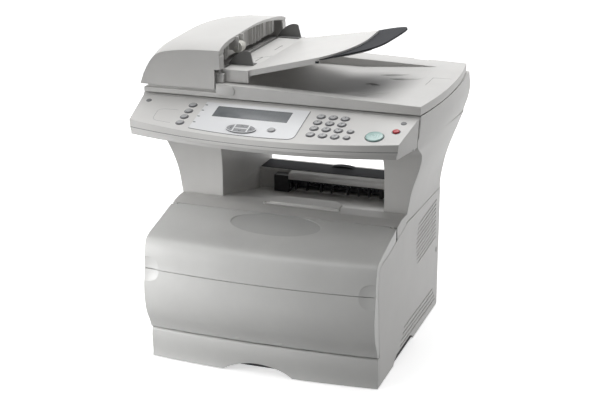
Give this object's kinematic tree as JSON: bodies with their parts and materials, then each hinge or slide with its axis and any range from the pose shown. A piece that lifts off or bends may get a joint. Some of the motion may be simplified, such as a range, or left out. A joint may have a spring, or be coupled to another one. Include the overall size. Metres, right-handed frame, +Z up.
{
  "type": "multifunction printer",
  "caption": "Desktop laser multifunction printer: bowed front door and cover, paper tray, flared stand, flatbed scanner with keyed panel, and a sheet feeder with its tray on the lid.",
  "frame": {"origin": "on the floor under the middle of the bounding box", "axes": "+Z up, +Y to the back, +X to the right seen from the front"},
  "size_m": [0.4836, 0.4344, 0.5232],
  "materials": {
    "casing": "fine grained warm light grey",
    "front_casing": "fine grained light grey",
    "frame_plastic": "matt",
    "charcoal_plastic": "satin",
    "black_plastic": "matt",
    "steel": "zinc plated",
    "rubber": "matt",
    "white_rubber": "matt",
    "drum_coating": "smooth coating",
    "glass": "polished",
    "display_plate": "silver lacquer",
    "key_grey": "satin",
    "key_teal": "satin",
    "key_red": "satin"
  },
  "bodies": {
    "base": {"base_frame": "frame_plastic", "feet": "rubber", "left_side_cover": "casing", "right_side_cover": "casing", "top_cover": "casing", "rear_cover": "casing", "exit_comb": "black_plastic", "engine_units": "steel", "toner_cartridge": "black_plastic", "stand_left": "casing", "stand_right": "casing", "scanner_housing": "casing", "platen_glass": "glass", "control_panel": "casing", "display_panel": "display_plate"},
    "lid": {"lid": "casing", "adf_frame": "casing"},
    "front_cover": {"front_cover": "front_casing"},
    "front_door": {"front_door": "front_casing"},
    "bin_stop": {"bin_stop": "casing"},
    "exit_rollers": {"exit_rollers": "rubber"},
    "paper_tray": {"paper_tray": "front_casing"},
    "lift_plate": {"lift_plate": "steel"},
    "paper_guide": {"paper_guide": "casing"},
    "pickup_roller": {"pickup_roller": "rubber"},
    "photo_drum": {"photo_drum": "drum_coating"},
    "rear_door": {"rear_door": "casing"},
    "power_switch": {"power_switch": "black_plastic"},
    "scan_carriage": {"scan_carriage": "black_plastic"},
    "adf_cover": {"adf_cover": "casing"},
    "feed_roller": {"feed_roller": "white_rubber"},
    "input_tray": {"input_tray": "casing"},
    "tray_extension": {"tray_extension": "charcoal_plastic"},
    "guide_front": {"guide_front": "charcoal_plastic"},
    "guide_back": {"guide_back": "charcoal_plastic"},
    "copy_key": {"copy_key": "key_grey"},
    "fax_key": {"fax_key": "key_grey"},
    "key_0": {"key_0": "key_grey"},
    "key_1": {"key_1": "key_grey"},
    "key_2": {"key_2": "key_grey"},
    "key_3": {"key_3": "key_grey"},
    "key_4": {"key_4": "key_grey"},
    "key_5": {"key_5": "key_grey"},
    "key_6": {"key_6": "key_grey"},
    "key_7": {"key_7": "key_grey"},
    "key_8": {"key_8": "key_grey"},
    "key_9": {"key_9": "key_grey"},
    "key_hash": {"key_hash": "key_grey"},
    "key_star": {"key_star": "key_grey"},
    "menu_down_key": {"menu_down_key": "key_grey"},
    "menu_left_key": {"menu_left_key": "key_grey"},
    "menu_right_key": {"menu_right_key": "key_grey"},
    "menu_up_key": {"menu_up_key": "key_grey"},
    "options_key": {"options_key": "key_grey"},
    "pause_key": {"pause_key": "key_grey"},
    "redial_key": {"redial_key": "key_grey"},
    "return_key": {"return_key": "key_grey"},
    "scan_key": {"scan_key": "key_grey"},
    "start_button": {"start_button": "key_teal"},
    "stop_button": {"stop_button": "key_red"}
  },
  "joints": [
    {"name": "front_door_fold", "type": "hinge", "parent": "base", "child": "front_door", "pos_m": [0, -0.1862, 0.062], "axis": [1, 0, 0], "range_deg": [0, 55]},
    {"name": "front_cover_lift", "type": "hinge", "parent": "base", "child": "front_cover", "pos_m": [0, -0.0874, 0.2355], "axis": [-1, 0, 0], "range_deg": [0, 62]},
    {"name": "paper_tray_slide", "type": "slide", "parent": "base", "child": "paper_tray", "axis": [0, -1, 0], "range_m": [0, 0.3]},
    {"name": "lift_plate_tilt", "type": "hinge", "parent": "paper_tray", "child": "lift_plate", "pos_m": [0, 0.02, 0.0144], "axis": [-1, 0, 0], "range_deg": [0, 9]},
    {"name": "paper_guide_slide", "type": "slide", "parent": "paper_tray", "child": "paper_guide", "axis": [0, -1, 0], "range_m": [-0.018, 0.085]},
    {"name": "pickup_roller_spin", "type": "hinge", "parent": "base", "child": "pickup_roller", "pos_m": [0, -0.13, 0.062], "axis": [1, 0, 0], "continuous": true},
    {"name": "photo_drum_spin", "type": "hinge", "parent": "base", "child": "photo_drum", "pos_m": [0, -0.032, 0.108], "axis": [1, 0, 0], "continuous": true},
    {"name": "exit_rollers_spin", "type": "hinge", "parent": "base", "child": "exit_rollers", "pos_m": [0, 0.129, 0.221], "axis": [1, 0, 0], "continuous": true},
    {"name": "bin_stop_flip", "type": "hinge", "parent": "base", "child": "bin_stop", "pos_m": [0.021, -0.052, 0.2436], "axis": [1, 0, 0], "range_deg": [0, 100]},
    {"name": "rear_door_fold", "type": "hinge", "parent": "base", "child": "rear_door", "pos_m": [0, 0.19, 0.066], "axis": [-1, 0, 0], "range_deg": [0, 85]},
    {"name": "power_switch_rock", "type": "hinge", "parent": "base", "child": "power_switch", "pos_m": [-0.149, 0.188, 0.128], "axis": [1, 0, 0], "range_deg": [0, 12]},
    {"name": "scan_carriage_slide", "type": "slide", "parent": "base", "child": "scan_carriage", "axis": [1, 0, 0], "range_m": [0, 0.37]},
    {"name": "lid_hinge", "type": "hinge", "parent": "base", "child": "lid", "pos_m": [0, 0.21, 0.432], "axis": [-1, 0, 0], "range_deg": [0, 75]},
    {"name": "adf_cover_hinge", "type": "hinge", "parent": "lid", "child": "adf_cover", "pos_m": [-0.227, 0, 0.447], "axis": [0, -1, 0], "range_deg": [0, 50]},
    {"name": "feed_roller_spin", "type": "hinge", "parent": "adf_cover", "child": "feed_roller", "pos_m": [-0.095, -0.026, 0.496], "axis": [0, 1, 0], "continuous": true},
    {"name": "input_tray_hinge", "type": "hinge", "parent": "lid", "child": "input_tray", "pos_m": [-0.099, 0.05, 0.461], "axis": [0, -1, 0], "range_deg": [0, 20]},
    {"name": "tray_extension_slide", "type": "slide", "parent": "input_tray", "child": "tray_extension", "axis": [-0.969, 0, -0.247], "range_m": [0, 0.055]},
    {"name": "guide_front_slide", "type": "slide", "parent": "input_tray", "child": "guide_front", "axis": [0, 1, 0], "range_m": [0, 0.04]},
    {"name": "guide_back_slide", "type": "slide", "parent": "input_tray", "child": "guide_back", "axis": [0, -1, 0], "range_m": [0, 0.04]},
    {"name": "copy_key_press", "type": "slide", "parent": "base", "child": "copy_key", "axis": [0, 0.274, -0.9617], "range_m": [0, 0.0012], "stiffness_N_per_m": 180},
    {"name": "fax_key_press", "type": "slide", "parent": "base", "child": "fax_key", "axis": [0, 0.274, -0.9617], "range_m": [0, 0.0012], "stiffness_N_per_m": 180},
    {"name": "key_0_press", "type": "slide", "parent": "base", "child": "key_0", "axis": [0, 0.274, -0.9617], "range_m": [0, 0.0012], "stiffness_N_per_m": 180},
    {"name": "key_1_press", "type": "slide", "parent": "base", "child": "key_1", "axis": [0, 0.274, -0.9617], "range_m": [0, 0.0012], "stiffness_N_per_m": 180},
    {"name": "key_2_press", "type": "slide", "parent": "base", "child": "key_2", "axis": [0, 0.274, -0.9617], "range_m": [0, 0.0012], "stiffness_N_per_m": 180},
    {"name": "key_3_press", "type": "slide", "parent": "base", "child": "key_3", "axis": [0, 0.274, -0.9617], "range_m": [0, 0.0012], "stiffness_N_per_m": 180},
    {"name": "key_4_press", "type": "slide", "parent": "base", "child": "key_4", "axis": [0, 0.274, -0.9617], "range_m": [0, 0.0012], "stiffness_N_per_m": 180},
    {"name": "key_5_press", "type": "slide", "parent": "base", "child": "key_5", "axis": [0, 0.274, -0.9617], "range_m": [0, 0.0012], "stiffness_N_per_m": 180},
    {"name": "key_6_press", "type": "slide", "parent": "base", "child": "key_6", "axis": [0, 0.274, -0.9617], "range_m": [0, 0.0012], "stiffness_N_per_m": 180},
    {"name": "key_7_press", "type": "slide", "parent": "base", "child": "key_7", "axis": [0, 0.274, -0.9617], "range_m": [0, 0.0012], "stiffness_N_per_m": 180},
    {"name": "key_8_press", "type": "slide", "parent": "base", "child": "key_8", "axis": [0, 0.274, -0.9617], "range_m": [0, 0.0012], "stiffness_N_per_m": 180},
    {"name": "key_9_press", "type": "slide", "parent": "base", "child": "key_9", "axis": [0, 0.274, -0.9617], "range_m": [0, 0.0012], "stiffness_N_per_m": 180},
    {"name": "key_hash_press", "type": "slide", "parent": "base", "child": "key_hash", "axis": [0, 0.274, -0.9617], "range_m": [0, 0.0012], "stiffness_N_per_m": 180},
    {"name": "key_star_press", "type": "slide", "parent": "base", "child": "key_star", "axis": [0, 0.274, -0.9617], "range_m": [0, 0.0012], "stiffness_N_per_m": 180},
    {"name": "menu_down_key_press", "type": "slide", "parent": "base", "child": "menu_down_key", "axis": [0, 0.274, -0.9617], "range_m": [0, 0.0012], "stiffness_N_per_m": 180},
    {"name": "menu_left_key_press", "type": "slide", "parent": "base", "child": "menu_left_key", "axis": [0, 0.274, -0.9617], "range_m": [0, 0.0012], "stiffness_N_per_m": 180},
    {"name": "menu_right_key_press", "type": "slide", "parent": "base", "child": "menu_right_key", "axis": [0, 0.274, -0.9617], "range_m": [0, 0.0012], "stiffness_N_per_m": 180},
    {"name": "menu_up_key_press", "type": "slide", "parent": "base", "child": "menu_up_key", "axis": [0, 0.274, -0.9617], "range_m": [0, 0.0012], "stiffness_N_per_m": 180},
    {"name": "options_key_press", "type": "slide", "parent": "base", "child": "options_key", "axis": [0, 0.274, -0.9617], "range_m": [0, 0.0012], "stiffness_N_per_m": 180},
    {"name": "pause_key_press", "type": "slide", "parent": "base", "child": "pause_key", "axis": [0, 0.274, -0.9617], "range_m": [0, 0.0012], "stiffness_N_per_m": 180},
    {"name": "redial_key_press", "type": "slide", "parent": "base", "child": "redial_key", "axis": [0, 0.274, -0.9617], "range_m": [0, 0.0012], "stiffness_N_per_m": 180},
    {"name": "return_key_press", "type": "slide", "parent": "base", "child": "return_key", "axis": [0, 0.274, -0.9617], "range_m": [0, 0.0012], "stiffness_N_per_m": 180},
    {"name": "scan_key_press", "type": "slide", "parent": "base", "child": "scan_key", "axis": [0, 0.274, -0.9617], "range_m": [0, 0.0012], "stiffness_N_per_m": 180},
    {"name": "start_button_press", "type": "slide", "parent": "base", "child": "start_button", "axis": [0, 0.274, -0.9617], "range_m": [0, 0.0012], "stiffness_N_per_m": 180},
    {"name": "stop_button_press", "type": "slide", "parent": "base", "child": "stop_button", "axis": [0, 0.274, -0.9617], "range_m": [0, 0.0012], "stiffness_N_per_m": 180}
  ],
  "couplings": [
    {"joint": "exit_rollers_spin", "follows": "photo_drum_spin", "ratio": 2.5},
    {"joint": "guide_back_slide", "follows": "guide_front_slide", "ratio": 1}
  ]
}
